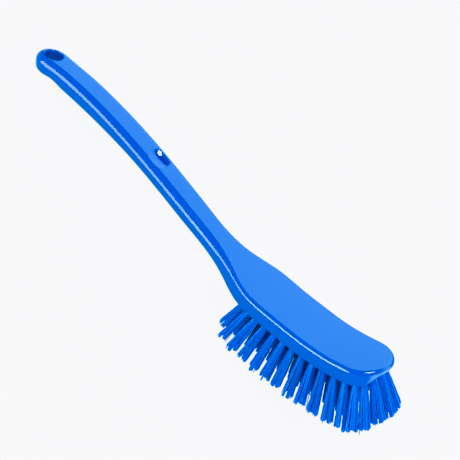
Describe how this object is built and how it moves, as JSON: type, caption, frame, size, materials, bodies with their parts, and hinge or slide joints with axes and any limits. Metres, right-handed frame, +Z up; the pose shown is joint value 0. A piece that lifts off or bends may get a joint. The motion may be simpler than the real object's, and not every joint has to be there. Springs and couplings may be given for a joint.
{
  "type": "hand brush",
  "caption": "Long-handled hand brush: one arched moulding with a hanging hole and a dished slot in its handle, and a wide block set with fanned bristle tufts.",
  "frame": {"origin": "the middle of the bounding box, on the floor that the brush lies on", "axes": "+X along the brush from the handle's end to the block's front, +Y across it, +Z up, with the brush lying on its rear tufts and its handle's end"},
  "size_m": [0.4318, 0.0736, 0.1032],
  "materials": {
    "blue_moulding": "glossy moulded plastic",
    "blue_filament": "satin crimped filament"
  },
  "bodies": {
    "root": {"handle_block": "blue_moulding", "tuft_far_inner_01": "blue_filament", "tuft_far_inner_02": "blue_filament", "tuft_far_inner_03": "blue_filament", "tuft_far_inner_04": "blue_filament", "tuft_far_inner_05": "blue_filament", "tuft_far_inner_06": "blue_filament", "tuft_far_inner_07": "blue_filament", "tuft_far_inner_08": "blue_filament", "tuft_far_inner_09": "blue_filament", "tuft_far_inner_10": "blue_filament", "tuft_far_inner_11": "blue_filament", "tuft_far_inner_12": "blue_filament", "tuft_far_outer_01": "blue_filament", "tuft_far_outer_02": "blue_filament", "tuft_far_outer_03": "blue_filament", "tuft_far_outer_04": "blue_filament", "tuft_far_outer_05": "blue_filament", "tuft_far_outer_06": "blue_filament", "tuft_far_outer_07": "blue_filament", "tuft_far_outer_08": "blue_filament", "tuft_far_outer_09": "blue_filament", "tuft_far_outer_10": "blue_filament", "tuft_far_outer_11": "blue_filament", "tuft_front_1": "blue_filament", "tuft_front_2": "blue_filament", "tuft_front_3": "blue_filament", "tuft_front_4": "blue_filament", "tuft_front_5": "blue_filament", "tuft_front_6": "blue_filament", "tuft_front_7": "blue_filament", "tuft_near_inner_01": "blue_filament", "tuft_near_inner_02": "blue_filament", "tuft_near_inner_03": "blue_filament", "tuft_near_inner_04": "blue_filament", "tuft_near_inner_05": "blue_filament", "tuft_near_inner_06": "blue_filament", "tuft_near_inner_07": "blue_filament", "tuft_near_inner_08": "blue_filament", "tuft_near_inner_09": "blue_filament", "tuft_near_inner_10": "blue_filament", "tuft_near_inner_11": "blue_filament", "tuft_near_inner_12": "blue_filament", "tuft_near_outer_01": "blue_filament", "tuft_near_outer_02": "blue_filament", "tuft_near_outer_03": "blue_filament", "tuft_near_outer_04": "blue_filament", "tuft_near_outer_05": "blue_filament", "tuft_near_outer_06": "blue_filament", "tuft_near_outer_07": "blue_filament", "tuft_near_outer_08": "blue_filament", "tuft_near_outer_09": "blue_filament", "tuft_near_outer_10": "blue_filament", "tuft_near_outer_11": "blue_filament"}
  },
  "joints": []
}
